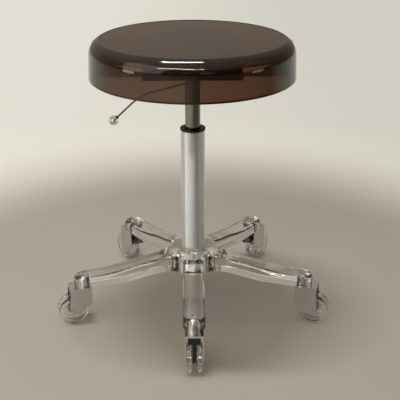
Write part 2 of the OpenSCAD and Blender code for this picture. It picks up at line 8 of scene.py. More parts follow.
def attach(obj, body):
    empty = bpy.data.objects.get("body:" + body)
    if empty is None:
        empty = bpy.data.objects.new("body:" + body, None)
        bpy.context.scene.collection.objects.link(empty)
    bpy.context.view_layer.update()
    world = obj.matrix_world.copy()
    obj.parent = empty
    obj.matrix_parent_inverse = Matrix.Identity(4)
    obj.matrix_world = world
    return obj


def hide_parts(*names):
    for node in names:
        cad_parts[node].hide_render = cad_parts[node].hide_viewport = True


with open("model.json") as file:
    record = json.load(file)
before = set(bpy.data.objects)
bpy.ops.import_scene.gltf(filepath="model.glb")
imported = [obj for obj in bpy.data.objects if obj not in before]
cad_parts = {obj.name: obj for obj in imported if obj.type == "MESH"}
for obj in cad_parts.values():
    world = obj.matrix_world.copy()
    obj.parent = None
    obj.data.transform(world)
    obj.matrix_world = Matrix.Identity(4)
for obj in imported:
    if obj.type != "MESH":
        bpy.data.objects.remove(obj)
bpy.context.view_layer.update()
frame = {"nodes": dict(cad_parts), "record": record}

nodes = frame["nodes"]

# Studio. A pale stone-coloured floor that lightens to cream away from the stool, under two thin
# strips of light, a broad window at the front left and two low windows at its sides.
MM = 0.001
FLOOR_SIZE = 24
FADE_FROM, FADE_TO = 0.55, 1.3
MIRROR_FROM, MIRROR_TO = 0.55, 1.35
HALF_VIEW = 0.6


def linear(hex_code):
    """An sRGB hex colour as the linear values that a shader takes."""
    parts = [int(hex_code[i:i + 2], 16) / 255 for i in (0, 2, 4)]
    return tuple(c / 12.92 if c <= 0.04045 else ((c + 0.055) / 1.055) ** 2.4 for c in parts) + (1.0,
                                                                                                )


def add_node(tree, kind, values=(), links=(), **settings):
    """Adds one shader node with its settings, its sockets' values and its incoming links."""
    made = tree.nodes.new(kind)
    for name, value in settings.items():
        setattr(made, name, value)
    for socket, value in dict(values).items():
        made.inputs[socket].default_value = value
    for socket, source in dict(links).items():
        tree.links.new(source, made.inputs[socket])
    return made


def new_material(name):
    """An empty node material and its tree."""
    made = bpy.data.materials.new(name)
    made.use_nodes = True
    made.node_tree.nodes.clear()
    return made, made.node_tree


def deselect():
    """Leaves edit mode and deselects everything, so that an operator acts on one piece."""
    if bpy.context.mode != "OBJECT":
        bpy.ops.object.mode_set(mode="OBJECT")
    bpy.ops.object.select_all(action="DESELECT")


deselect()
bpy.ops.mesh.primitive_plane_add(size=FLOOR_SIZE, location=(0, 0, 0))
floor = bpy.context.object
floor.name = "studio_floor"
bpy.ops.object.mode_set(mode="EDIT")
bpy.ops.mesh.select_all(action="SELECT")
bpy.ops.mesh.subdivide(number_cuts=3)
bpy.ops.object.mode_set(mode="OBJECT")

# Honed pale stone: matt, with a weak sheen. Near the stool it is grey and takes the shadow; past
# it, it pales behind, and to the left as painted light from the window side, and what looks that
# far, or sees it mirrored, meets a cream glow, darker to the right with painted shade.
floor_paint, tree = new_material("honed pale stone")
place = add_node(tree, "ShaderNodeTexCoord")
reach = add_node(tree, "ShaderNodeVectorMath", links={0: place.outputs["Object"]},
                 operation="LENGTH")
fade = add_node(tree, "ShaderNodeMapRange", {"From Min": FADE_FROM, "From Max": FADE_TO},
                {"Value": reach.outputs["Value"]}, interpolation_type="SMOOTHSTEP")
split = add_node(tree, "ShaderNodeSeparateXYZ", links={"Vector": place.outputs["Object"]})
behind = add_node(tree, "ShaderNodeMapRange", {"From Min": 0.0, "From Max": 0.5},
                  {"Value": split.outputs["Y"]})
# Painted light: the floor is paler towards the left, as if lit from the window side.
painted_light_leftward = add_node(tree, "ShaderNodeMapRange", {"From Min": 0.5, "From Max": -0.4},
                    {"Value": split.outputs["X"]})
lit = add_node(tree, "ShaderNodeMath",
               links={0: behind.outputs["Result"], 1: painted_light_leftward.outputs["Result"]},
               operation="MAXIMUM")
paling = add_node(tree, "ShaderNodeMath", links={0: fade.outputs["Result"], 1: lit.outputs[0]},
                  operation="MULTIPLY")
tone = add_node(tree, "ShaderNodeMix", {"A": linear("8E8B84"), "B": linear("F4F2EC")},
                {"Factor": paling.outputs[0]}, data_type="RGBA")
finish = add_node(tree, "ShaderNodeBsdfPrincipled", {"Roughness": 0.38, "Specular IOR Level": 0.35},
                  {"Base Color": tone.outputs["Result"]})
distant = add_node(tree, "ShaderNodeMapRange", {"From Min": MIRROR_FROM, "From Max": MIRROR_TO},
                   {"Value": split.outputs["Y"]}, interpolation_type="SMOOTHSTEP")
# Painted shade: the far floor's glow darkens from left to right, as if the light fell off away from
# the window.
painted_shade_across = add_node(tree, "ShaderNodeMapRange", {"From Min": -HALF_VIEW, "From Max": HALF_VIEW},
                  {"Value": split.outputs["X"]})
pale = add_node(tree, "ShaderNodeMix", {"A": linear("E4E0D5"), "B": linear("D0CEC2")},
                {"Factor": painted_shade_across.outputs["Result"]}, data_type="RGBA")
glow = add_node(tree, "ShaderNodeEmission", links={"Color": pale.outputs["Result"]})
way = add_node(tree, "ShaderNodeLightPath")
looked = add_node(tree, "ShaderNodeMath",
                  links={0: way.outputs["Is Camera Ray"], 1: way.outputs["Is Transmission Ray"]},
                  operation="MAXIMUM")
looked = add_node(tree, "ShaderNodeMath", links={0: looked.outputs[0], 1: fade.outputs["Result"]},
                  operation="MULTIPLY")
mirrored = add_node(tree, "ShaderNodeMath",
                    links={0: way.outputs["Is Glossy Ray"], 1: distant.outputs["Result"]},
                    operation="MULTIPLY")
share = add_node(tree, "ShaderNodeMath", links={0: looked.outputs[0], 1: mirrored.outputs[0]},
                 operation="MAXIMUM")
ground = add_node(tree, "ShaderNodeMixShader",
                  links={0: share.outputs[0], 1: finish.outputs["BSDF"],
                         2: glow.outputs["Emission"]})
add_node(tree, "ShaderNodeOutputMaterial", links={"Surface": ground.outputs["Shader"]})
floor.data.materials.append(floor_paint)

# The room's air: dim and warm low in front, lighter low behind, which the seat's flat top
# mirrors, and pale overhead; it falls off to the right. The camera sees an even cream backdrop.
world = bpy.data.worlds.new("studio air")
bpy.context.scene.world = world
world.use_nodes = True
tree = world.node_tree
tree.nodes.clear()
towards = add_node(tree, "ShaderNodeTexCoord")
split = add_node(tree, "ShaderNodeSeparateXYZ", links={"Vector": towards.outputs["Generated"]})
side = add_node(tree, "ShaderNodeMapRange",
                {"From Min": -0.8, "From Max": 0.8, "To Min": 1.25, "To Max": 0.65},
                {"Value": split.outputs["X"]})
height = add_node(tree, "ShaderNodeMapRange", {"From Min": 0.3, "From Max": 0.85},
                  {"Value": split.outputs["Z"]}, interpolation_type="SMOOTHSTEP")
back = add_node(tree, "ShaderNodeMapRange", {"From Min": -0.4, "From Max": 0.6},
                {"Value": split.outputs["Y"]})
low = add_node(tree, "ShaderNodeMix", {"A": (0.05, 0.043, 0.036, 1), "B": (0.345, 0.29, 0.24, 1)},
               {"Factor": back.outputs["Result"]}, data_type="RGBA")
hue = add_node(tree, "ShaderNodeMix", {"B": (0.56, 0.54, 0.50, 1)},
               {"Factor": height.outputs["Result"], "A": low.outputs["Result"]}, data_type="RGBA")
air = add_node(tree, "ShaderNodeBackground", {},
               {"Color": hue.outputs["Result"], "Strength": side.outputs["Result"]})
backdrop = add_node(tree, "ShaderNodeBackground", {"Color": linear("DAD7CC")})
way = add_node(tree, "ShaderNodeLightPath")
seen = add_node(tree, "ShaderNodeMixShader",
                links={0: way.outputs["Is Camera Ray"], 1: air.outputs["Background"],
                       2: backdrop.outputs["Background"]})
add_node(tree, "ShaderNodeOutputWorld", links={"Surface": seen.outputs["Shader"]})


def lamp(name, place, aim, size, watts, colour):
    """An area lamp of a width and height, at a place and turned to its aim."""
    bpy.ops.object.light_add(type="AREA", location=place)
    made = bpy.context.object
    made.name = name
    made.rotation_euler = (Vector(aim) - Vector(place)).to_track_quat("-Z", "Y").to_euler()
    made.data.shape = "RECTANGLE"
    made.data.size, made.data.size_y = size
    made.data.energy = watts
    made.data.color = linear(colour)[:3]


STRIP, DAYLIGHT, LOW_LIGHT = "FFFAF2", "FFF8EE", "FFE2BE"
LOW_WINDOW = (0.5, 0.35)
lamp("strip_above", (-0.22, 0.12, 2.4), (-0.22, 0.12, 0), (0.8, 0.12), 46, STRIP)
lamp("strip_in_front", (-0.55, -2.1, 2.4), (0, 0, 0.3), (2.2, 0.08), 26, STRIP)
lamp("window_light", (-1.9, -1.3, 1.5), (0, 0, 0.2), (2.2, 2.2), 20, DAYLIGHT)
lamp("low_window_left", (-1.9, -0.7, 0.35), (0, 0, 0.1), LOW_WINDOW, 2.4, LOW_LIGHT)
lamp("low_window_right", (1.9, -0.7, 0.35), (0, 0, 0.1), LOW_WINDOW, 1.2, LOW_LIGHT)

# The camera, in the place that was fitted to the seat's rim, the arms' ends and the wheels. The
# light passes many skins of clear plastic, so it may turn often.
CAMERA_AT = (-0.0072, -1.3421, 0.8152)
CAMERA_TILT, CAMERA_TURN = 66.387, -0.864
CAMERA_LENS, CAMERA_SENSOR = 69.87, 36
CLEAR_SKINS, ALL_TURNS = 24, 32
deselect()
bpy.ops.object.camera_add(location=CAMERA_AT,
                          rotation=(math.radians(CAMERA_TILT), 0, math.radians(CAMERA_TURN)))
camera = bpy.context.object
camera.data.lens = CAMERA_LENS
camera.data.sensor_width = CAMERA_SENSOR
bpy.context.scene.camera = camera
bpy.context.scene.view_settings.view_transform = "Standard"
bpy.context.scene.cycles.transmission_bounces = CLEAR_SKINS
bpy.context.scene.cycles.max_bounces = ALL_TURNS
bpy.context.scene.cycles.transparent_max_bounces = CLEAR_SKINS

# Seat. One casting of smoked brown acrylic: a flat top inside a fine line, a rounded edge, a
# leaning skirt, and below the top a mounting ring and two webs in line with the skirt's rim.
AXIS = Vector((0, 22 * MM, 0))
SEAT_LOW = 462.6 * MM
SEAT_FACE = 530.095 * MM
SLAB_LOW = 521.095 * MM
RING_LOW = 499.295 * MM
RING_IN, RING_OUT = 73 * MM, 87 * MM
WEB_HALF = 5.5 * MM
RIM = 2 * MM
SEAT_EDGE_R = 26 * MM
INNER_EDGE_R = 12 * MM
EDGE_CENTRE_R, EDGE_CENTRE_Z = 157 * MM, 506 * MM
SEAT_R = 185 * MM
SKIRT_IN_R = 171 * MM
OVERLAP = 4 * MM


def arc(cx, cy, r, start, end, steps):
    """Points along an arc from one angle in degrees to another."""
    turns = [math.radians(start + (end - start) * i / steps) for i in range(steps + 1)]
    return [(cx + r * math.cos(a), cy + r * math.sin(a)) for a in turns]


def lathe(name, line, centre, closed=True, steps=144):
    """A line of (radius, height) points turned once round a vertical axis. A closed line is a
    ring's section; one that isn't closed starts and ends on the axis."""
    deselect()
    bpy.ops.mesh.primitive_circle_add(vertices=len(line), radius=0.1, fill_type="NOTHING")
    made = bpy.context.object
    made.name = name
    for vertex, (r, z) in zip(made.data.vertices, line):
        vertex.co = (centre[0] + r, centre[1], z)
    bpy.ops.object.mode_set(mode="EDIT")
    bpy.ops.mesh.select_mode(type="EDGE")
    if not closed:
        bpy.ops.mesh.select_all(action="DESELECT")
        bpy.ops.object.mode_set(mode="OBJECT")
        for side in made.data.edges:
            side.select = set(side.vertices) == {0, len(line) - 1}
        bpy.ops.object.mode_set(mode="EDIT")
        bpy.ops.mesh.delete(type="EDGE")
    bpy.ops.mesh.select_all(action="SELECT")
    bpy.ops.mesh.spin(steps=steps, angle=2 * math.pi, center=centre, axis=(0, 0, 1))
    bpy.ops.mesh.select_all(action="SELECT")
    bpy.ops.mesh.remove_doubles(threshold=0.01 * MM)
    bpy.ops.mesh.normals_make_consistent(inside=False)
    bpy.ops.object.mode_set(mode="OBJECT")
    return made


def select_where(obj, test):
    """Enters edit mode with only the faces selected whose centre and normal pass the test."""
    bpy.context.view_layer.objects.active = obj
    bpy.ops.object.mode_set(mode="EDIT")
    bpy.ops.mesh.select_all(action="DESELECT")
    bpy.ops.mesh.select_mode(type="FACE")
    bpy.ops.object.mode_set(mode="OBJECT")
    for face in obj.data.polygons:
        face.select = test(face.center, face.normal)
    bpy.ops.object.mode_set(mode="EDIT")


def block(name, low, high, edge=0.0):
    """A block between two corners with its edges rounded."""
    deselect()
    bpy.ops.mesh.primitive_cube_add(size=1, location=[(a + b) / 2 for a, b in zip(low, high)])
    made = bpy.context.object
    made.name = name
    made.scale = [b - a for a, b in zip(low, high)]
    bpy.ops.object.transform_apply(location=True, scale=True)
    if edge:
        select_where(made, lambda c, n: True)
        bpy.ops.mesh.bevel(offset=edge, segments=3, affect="EDGES")
        bpy.ops.object.mode_set(mode="OBJECT")
    return made


def cut_or_join(obj, tool, how):
    """Cuts the tool from obj, or joins it on, and removes the tool."""
    bpy.context.view_layer.objects.active = obj
    step = obj.modifiers.new("shape", "BOOLEAN")
    step.operation = how
    step.solver = "EXACT"
    step.object = tool
    bpy.ops.object.modifier_apply(modifier="shape")
    bpy.data.objects.remove(tool, do_unlink=True)


def smooth(obj, degrees):
    """Shades smooth the faces that meet at less than an angle, and keeps the broad ones flat."""
    deselect()
    obj.select_set(True)
    bpy.context.view_layer.objects.active = obj
    bpy.ops.mesh.customdata_custom_splitnormals_clear()
    bpy.ops.object.shade_smooth_by_angle(angle=math.radians(degrees))
    step = obj.modifiers.new("broad faces", "WEIGHTED_NORMAL")
    step.keep_sharp = True
    bpy.ops.object.modifier_apply(modifier="broad faces")


def fit_out(obj, material, body, slot, *stands_for):
    """Gives a piece its material and body and hides the CAD nodes it stands for; slot is not used.
    """
    obj.data.materials.clear()
    obj.data.materials.append(material)
    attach(obj, body)
    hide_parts(*stands_for)


def cast_acrylic(name, colour, density, wave, haze, bloom, share, span=28 * MM):
    """Cast acrylic, seen through: a polished skin over a colour that deepens with the thickness.
    The skin waves slightly, is a little hazed where it has been wiped and holds a share of fine
    dust, the bloom; lamps shine through it."""
    made, tree = new_material(name)
    place = add_node(tree, "ShaderNodeTexCoord")
    wiped = add_node(tree, "ShaderNodeTexNoise",
                     {"Scale": 1 / (45 * MM), "Detail": 4.0, "Roughness": 0.6},
                     {"Vector": place.outputs["Object"]})
    gloss = add_node(tree, "ShaderNodeMapRange",
                     {"From Min": 0.35, "From Max": 0.75, "To Min": haze[0], "To Max": haze[1]},
                     {"Value": wiped.outputs["Fac"]})
    waves = add_node(tree, "ShaderNodeTexNoise", {"Scale": 1 / span, "Detail": 1.0},
                     {"Vector": place.outputs["Object"]})
    relief = add_node(tree, "ShaderNodeBump", {"Strength": 1.0, "Distance": wave},
                      {"Height": waves.outputs["Fac"]})
    skin = add_node(tree, "ShaderNodeBsdfPrincipled",
                    {"Base Color": (1, 1, 1, 1), "IOR": 1.49, "Transmission Weight": 1.0},
                    {"Roughness": gloss.outputs["Result"], "Normal": relief.outputs["Normal"]})
    dust = add_node(tree, "ShaderNodeBsdfDiffuse", {"Color": bloom})
    skin = add_node(tree, "ShaderNodeMixShader", {"Fac": share},
                    {1: skin.outputs["BSDF"], 2: dust.outputs["BSDF"]})
    way = add_node(tree, "ShaderNodeLightPath")
    from_lamp = add_node(tree, "ShaderNodeMath",
                         links={0: way.outputs["Is Shadow Ray"], 1: way.outputs["Is Diffuse Ray"]},
                         operation="MAXIMUM")
    passing = add_node(tree, "ShaderNodeBsdfTransparent", {"Color": (0.94, 0.94, 0.94, 1)})
    both = add_node(tree, "ShaderNodeMixShader",
                    links={0: from_lamp.outputs[0], 1: skin.outputs["Shader"],
                           2: passing.outputs["BSDF"]})
    depth = add_node(tree, "ShaderNodeVolumeAbsorption", {"Color": colour, "Density": density})
    add_node(tree, "ShaderNodeOutputMaterial",
             links={"Surface": both.outputs["Shader"], "Volume": depth.outputs["Volume"]})
    return made


# Smoked brown acrylic: 14 mm of it still lets a warm brown through, and where the slab, the
# skirt and the webs lie behind one another it goes nearly black.
smoked = cast_acrylic("smoked cast acrylic", colour=(0.373, 0.171, 0.0, 1), density=246.0,
                      wave=0.02 * MM, haze=(0.005, 0.02), bloom=linear("B06A3C"), share=0.014)

# The casting's section, from the middle of the top over the fine line and the rounded edge, down
# the skirt, round its rim and back up inside to the slab.
seat = lathe("smoked_seat", [(r * MM, SEAT_FACE) for r in (0, 40, 80, 120, 150, 161.6)]
             + [(162.4 * MM, SEAT_FACE), (163.1 * MM, SEAT_FACE + 0.15 * MM),
                (163.9 * MM, SEAT_FACE + 0.62 * MM)]
             + arc(EDGE_CENTRE_R, EDGE_CENTRE_Z, SEAT_EDGE_R, 73.3, 0, 18)
             + arc(SEAT_R - RIM, SEAT_LOW + RIM, RIM, 0, -90, 5)
             + arc(SKIRT_IN_R + RIM, SEAT_LOW + RIM, RIM, -90, -180, 5)
             + arc(EDGE_CENTRE_R, SLAB_LOW - INNER_EDGE_R, INNER_EDGE_R, 0, 90, 9)
             + [(r * MM, SLAB_LOW) for r in (120, 60, 0)], AXIS, closed=False)
cut_or_join(seat, lathe("ring", arc(RING_IN + 1 * MM, RING_LOW + 1 * MM, 1 * MM, 180, 270, 3)
                        + arc(RING_OUT - 1 * MM, RING_LOW + 1 * MM, 1 * MM, 270, 360, 3)
                        + [(RING_OUT, SLAB_LOW + OVERLAP), (RING_IN, SLAB_LOW + OVERLAP)], AXIS),
            "UNION")
for side in (-1, 1):
    for near, far, low in ((87.5 * MM, 176 * MM, SEAT_LOW), (80 * MM, 98 * MM, RING_LOW)):
        x0, x1 = sorted((side * near, side * far))
        cut_or_join(seat, block("web", (x0, AXIS.y - WEB_HALF, low),
                                (x1, AXIS.y + WEB_HALF,
                                 SLAB_LOW + OVERLAP), edge=0.8 * MM), "UNION")
smooth(seat, 30)
fit_out(seat, smoked, "seat", "smoked_plastic", "seat_shell")


# Tray and socket. A pressed black steel tray under the ring, its corners bent over a small
# radius, with a socket welded under it, four screws in brass inserts and the lever's pin.
def likeness(node, edge=0.0, angle=35, segments=2):
    """A merged copy of a CAD node's mesh, its sharp edges rounded by a radius."""
    deselect()
    made = bpy.data.objects.new("made_" + node, nodes[node].data.copy())
    bpy.context.scene.collection.objects.link(made)
    made.select_set(True)
    bpy.context.view_layer.objects.active = made
    bpy.ops.object.mode_set(mode="EDIT")
    bpy.ops.mesh.select_mode(type="VERT")
    bpy.ops.mesh.select_all(action="SELECT")
    bpy.ops.mesh.remove_doubles(threshold=0.002 * MM)
    bpy.ops.mesh.dissolve_limited(angle_limit=math.radians(0.5))
    bpy.ops.object.mode_set(mode="OBJECT")
    if edge:
        step = made.modifiers.new("edges", "BEVEL")
        step.width = edge
        step.segments = segments
        step.limit_method = "ANGLE"
        step.angle_limit = math.radians(40)
        bpy.ops.object.modifier_apply(modifier="edges")
    smooth(made, angle)
    return made


def body_of(node):
    """The body that a CAD node belongs to."""
    return next(b for b, names in frame["record"]["behaviour"]["bodies"].items() if node in names)


# Black powder coat: an even orange-peel skin over steel, half gloss.
powder, tree = new_material("black powder-coated steel")
place = add_node(tree, "ShaderNodeTexCoord")
peel = add_node(tree, "ShaderNodeTexNoise", {"Scale": 1 / (1.2 * MM), "Detail": 2.0},
                {"Vector": place.outputs["Object"]})
dust = add_node(tree, "ShaderNodeTexNoise", {"Scale": 1 / (35 * MM), "Detail": 4.0},
                {"Vector": place.outputs["Object"]})
shade = add_node(tree, "ShaderNodeMix", {"A": linear("0B0B0B"), "B": linear("171615")},
                 {"Factor": dust.outputs["Fac"]}, data_type="RGBA")
relief = add_node(tree, "ShaderNodeBump", {"Strength": 0.6, "Distance": 0.03 * MM},
                  {"Height": peel.outputs["Fac"]})
skin = add_node(tree, "ShaderNodeBsdfPrincipled", {"Roughness": 0.42},
                {"Base Color": shade.outputs["Result"], "Normal": relief.outputs["Normal"]})
add_node(tree, "ShaderNodeOutputMaterial", links={"Surface": skin.outputs["BSDF"]})

# Bright zinc plate: grey-blue steel, clouded, with fine turned scratches.
zinc, tree = new_material("zinc-plated steel")
place = add_node(tree, "ShaderNodeTexCoord")
cloud = add_node(tree, "ShaderNodeTexNoise", {"Scale": 1 / (9 * MM), "Detail": 3.0},
                 {"Vector": place.outputs["Object"]})
shade = add_node(tree, "ShaderNodeMix", {"A": linear("B4B6B9"), "B": linear("D2D2CF")},
                 {"Factor": cloud.outputs["Fac"]}, data_type="RGBA")
gloss = add_node(tree, "ShaderNodeMapRange", {"To Min": 0.16, "To Max": 0.32},
                 {"Value": cloud.outputs["Fac"]})
skin = add_node(tree, "ShaderNodeBsdfPrincipled", {"Metallic": 1.0},
                {"Base Color": shade.outputs["Result"], "Roughness": gloss.outputs["Result"]})
add_node(tree, "ShaderNodeOutputMaterial", links={"Surface": skin.outputs["BSDF"]})

# Turned brass: yellow, dulled in patches.
brass, tree = new_material("turned brass")
place = add_node(tree, "ShaderNodeTexCoord")
cloud = add_node(tree, "ShaderNodeTexNoise", {"Scale": 1 / (5 * MM), "Detail": 3.0},
                 {"Vector": place.outputs["Object"]})
shade = add_node(tree, "ShaderNodeMix", {"A": linear("8E7340"), "B": linear("A98F58")},
                 {"Factor": cloud.outputs["Fac"]}, data_type="RGBA")
gloss = add_node(tree, "ShaderNodeMapRange", {"To Min": 0.42, "To Max": 0.55},
                 {"Value": cloud.outputs["Fac"]})
skin = add_node(tree, "ShaderNodeBsdfPrincipled", {"Metallic": 1.0},
                {"Base Color": shade.outputs["Result"], "Roughness": gloss.outputs["Result"]})
add_node(tree, "ShaderNodeOutputMaterial", links={"Surface": skin.outputs["BSDF"]})

fit_out(likeness("seat_tray", edge=0.9 * MM), powder, "seat", "black_steel", "seat_tray")
fit_out(likeness("cylinder_socket", edge=0.6 * MM), powder, "seat", "black_steel",
        "cylinder_socket")
for name, material, slot in (("tray_screws", zinc, "plain_steel"),
                             ("pivot_pin", zinc, "plain_steel"),
                             ("tray_inserts", brass, "brass")):
    fit_out(likeness(name, edge=0.25 * MM), material, "seat", slot, name)

# Gas spring. A chromed cylinder that slides in the column, with its valve pin on top; inside
# it the seal, the piston and the ground rod, which hangs on a thrust bearing in the column.
chrome, tree = new_material("bright chrome plate")
place = add_node(tree, "ShaderNodeTexCoord")
film = add_node(tree, "ShaderNodeTexNoise",
                {"Scale": 1 / (30 * MM), "Detail": 4.0, "Roughness": 0.6},
                {"Vector": place.outputs["Object"]})
gloss = add_node(tree, "ShaderNodeMapRange",
                 {"From Min": 0.35, "From Max": 0.7, "To Min": 0.05, "To Max": 0.13},
                 {"Value": film.outputs["Fac"]})
shade = add_node(tree, "ShaderNodeMix", {"A": linear("C8C9CA"), "B": linear("DCDCDC")},
                 {"Factor": film.outputs["Fac"]}, data_type="RGBA")
skin = add_node(tree, "ShaderNodeBsdfPrincipled", {"Metallic": 1.0},
                {"Base Color": shade.outputs["Result"], "Roughness": gloss.outputs["Result"]})
add_node(tree, "ShaderNodeOutputMaterial", links={"Surface": skin.outputs["BSDF"]})

# Dark chrome: the same plate darkened with painted shade, the seat's shadow and the dark room that
# the polished face mirrors.
chrome_in_painted_shade, tree = new_material("chrome plate in painted shade")
place = add_node(tree, "ShaderNodeTexCoord")
film = add_node(tree, "ShaderNodeTexNoise", {"Scale": 1 / (25 * MM), "Detail": 4.0},
                {"Vector": place.outputs["Object"]})
gloss = add_node(tree, "ShaderNodeMapRange",
                 {"From Min": 0.35, "From Max": 0.7, "To Min": 0.1, "To Max": 0.2},
                 {"Value": film.outputs["Fac"]})
shade = add_node(tree, "ShaderNodeMix", {"A": linear("62625E"), "B": linear("70706B")},
                 {"Factor": film.outputs["Fac"]}, data_type="RGBA")
skin = add_node(tree, "ShaderNodeBsdfPrincipled", {"Metallic": 1.0},
                {"Base Color": shade.outputs["Result"], "Roughness": gloss.outputs["Result"]})
add_node(tree, "ShaderNodeOutputMaterial", links={"Surface": skin.outputs["BSDF"]})

# Natural acetal: milky white bearing plastic, faintly mottled.
acetal, tree = new_material("natural acetal")
place = add_node(tree, "ShaderNodeTexCoord")
milk = add_node(tree, "ShaderNodeTexNoise", {"Scale": 1 / (12 * MM), "Detail": 3.0},
                {"Vector": place.outputs["Object"]})
shade = add_node(tree, "ShaderNodeMix", {"A": linear("D8D6CC"), "B": linear("E6E4DC")},
                 {"Factor": milk.outputs["Fac"]}, data_type="RGBA")
gloss = add_node(tree, "ShaderNodeMapRange", {"To Min": 0.32, "To Max": 0.5},
                 {"Value": milk.outputs["Fac"]})
skin = add_node(tree, "ShaderNodeBsdfPrincipled", {},
                {"Base Color": shade.outputs["Result"], "Roughness": gloss.outputs["Result"]})
add_node(tree, "ShaderNodeOutputMaterial", links={"Surface": skin.outputs["BSDF"]})

# Black nylon: moulded with a fine spark-eroded grain, which leaves a soft even sheen.
nylon, tree = new_material("black moulded nylon")
place = add_node(tree, "ShaderNodeTexCoord")
grain = add_node(tree, "ShaderNodeTexNoise", {"Scale": 1 / (0.8 * MM), "Detail": 3.0},
                 {"Vector": place.outputs["Object"]})
cloud = add_node(tree, "ShaderNodeTexNoise", {"Scale": 1 / (25 * MM), "Detail": 3.0},
                 {"Vector": place.outputs["Object"]})
shade = add_node(tree, "ShaderNodeMix", {"A": linear("080808"), "B": linear("131212")},
                 {"Factor": cloud.outputs["Fac"]}, data_type="RGBA")
gloss = add_node(tree, "ShaderNodeMapRange", {"To Min": 0.3, "To Max": 0.5},
                 {"Value": cloud.outputs["Fac"]})
relief = add_node(tree, "ShaderNodeBump", {"Strength": 0.5, "Distance": 0.02 * MM},
                  {"Height": grain.outputs["Fac"]})
skin = add_node(tree, "ShaderNodeBsdfPrincipled", {},
                {"Base Color": shade.outputs["Result"], "Roughness": gloss.outputs["Result"],
                 "Normal": relief.outputs["Normal"]})
add_node(tree, "ShaderNodeOutputMaterial", links={"Surface": skin.outputs["BSDF"]})

# Each node with its material, its slot and its edges' radius in millimetres.
# The gas cylinder's chrome is darkened with painted shade from the seat above it.
for name, material, slot, edge in (
        ("gas_cylinder", chrome_in_painted_shade, "chrome", 0.8), ("piston_rod", chrome, "chrome", 0.3),
        ("piston", zinc, "plain_steel", 0.5), ("valve_pin", zinc, "plain_steel", 0),
        ("rod_guide", nylon, "black_plastic", 0.5), ("bearing_lower_race", zinc, "plain_steel",
                                                     0.3),
        ("bearing_upper_race", zinc, "plain_steel", 0.3), ("bearing_cage", brass, "brass", 0.4),
        ("rod_washer", zinc, "plain_steel", 0.3), ("rod_clip", zinc, "plain_steel", 0.15),
        ("guide_bush", acetal, "white_plastic", 0.4)):
    fit_out(likeness(name, edge=edge * MM), material, body_of(name), slot, name)

# Column. A satin anodised aluminium tube with a thin black nylon collar plugged into its top.
# The tube was brushed along its length, which draws window and floor out into upright streaks.
satin, tree = new_material("satin anodised aluminium")
place = add_node(tree, "ShaderNodeTexCoord")
along = add_node(tree, "ShaderNodeMapping", {"Scale": (1, 1, 0.02)},
                 {"Vector": place.outputs["Object"]})
brush = add_node(tree, "ShaderNodeTexNoise", {"Scale": 1 / (0.9 * MM), "Detail": 2.0},
                 {"Vector": along.outputs["Vector"]})
cloud = add_node(tree, "ShaderNodeTexNoise", {"Scale": 1 / (60 * MM), "Detail": 3.0},
                 {"Vector": place.outputs["Object"]})
shade = add_node(tree, "ShaderNodeMix", {"A": linear("DFE6E9"), "B": linear("EDF4F8")},
                 {"Factor": brush.outputs["Fac"]}, data_type="RGBA")
gloss = add_node(tree, "ShaderNodeMapRange", {"To Min": 0.42, "To Max": 0.52},
                 {"Value": cloud.outputs["Fac"]})
relief = add_node(tree, "ShaderNodeBump", {"Strength": 0.3, "Distance": 0.01 * MM},
                  {"Height": brush.outputs["Fac"]})
turned = add_node(tree, "ShaderNodeTangent", direction_type="RADIAL", axis="Z")
skin = add_node(tree, "ShaderNodeBsdfPrincipled",
                {"Metallic": 1.0, "Anisotropic": 0.85, "Anisotropic Rotation": 0.25},
                {"Base Color": shade.outputs["Result"], "Roughness": gloss.outputs["Result"],
                 "Normal": relief.outputs["Normal"], "Tangent": turned.outputs["Tangent"]})
add_node(tree, "ShaderNodeOutputMaterial", links={"Surface": skin.outputs["BSDF"]})
fit_out(likeness("column_tube", edge=0.4 * MM), satin, "base", "column_metal", "column_tube")
fit_out(likeness("column_collar", edge=1.2 * MM, segments=3), nylon, "base", "black_plastic",
        "column_collar")

# Star base. Five bars and a hub, cast in one piece of clear acrylic: each bar rises from a
# round end to the hub, its top edges are rounded by hand and its underside arches lightly.
ARM_TURN = 72
ARM_STEP = math.radians(ARM_TURN)
ARMS = [math.radians(ARM_TURN * i - 90) for i in range(5)]
STEM_AT = 217.5 * MM
HALF_ARM = 20 * MM
FILLET = 16 * MM
FILLET_AT = (HALF_ARM + FILLET) / math.sin(ARM_STEP / 2)
TOP_EDGE_R = 7.5 * MM
TOP_EDGE_STEPS = 7
LOW_EDGE = 1 * MM
BLANK_HALF = 0.05
BLANK_RISE = 2 * BLANK_HALF - TOP_EDGE_R
TOP_LINE = [(0, 124), (34.6, 124), (52.5, 117.7), (70.6, 112.5), (90.6, 108.9), (110.6, 106.2),
            (130.6, 103), (150.7, 100), (170.7, 97.7), (190, 96.5), (250, 96.5)]
LOW_LINE = [(0, 79.1), (33, 79.1), (44.8, 82), (59.8, 84), (74.7, 84.5), (89.7, 83.5), (104.7, 81),
            (121.8, 78), (140, 75.5), (250, 75.5)]


def on_line(line, r):
    """The height, in metres, at a radius of a line of (radius, height) points in millimetres,
    eased at its corners outside the hub."""
    def straight(x):
        for (r0, z0), (r1, z1) in zip(line, line[1:]):
            if x <= r1:
                return z0 + (z1 - z0) * max(0.0, x - r0) / (r1 - r0)
        return line[-1][1]
    x = r / MM
    if x < 38:
        return straight(x) * MM
    return (straight(x - 6) + 2 * straight(x) + straight(x + 6)) / 4 * MM


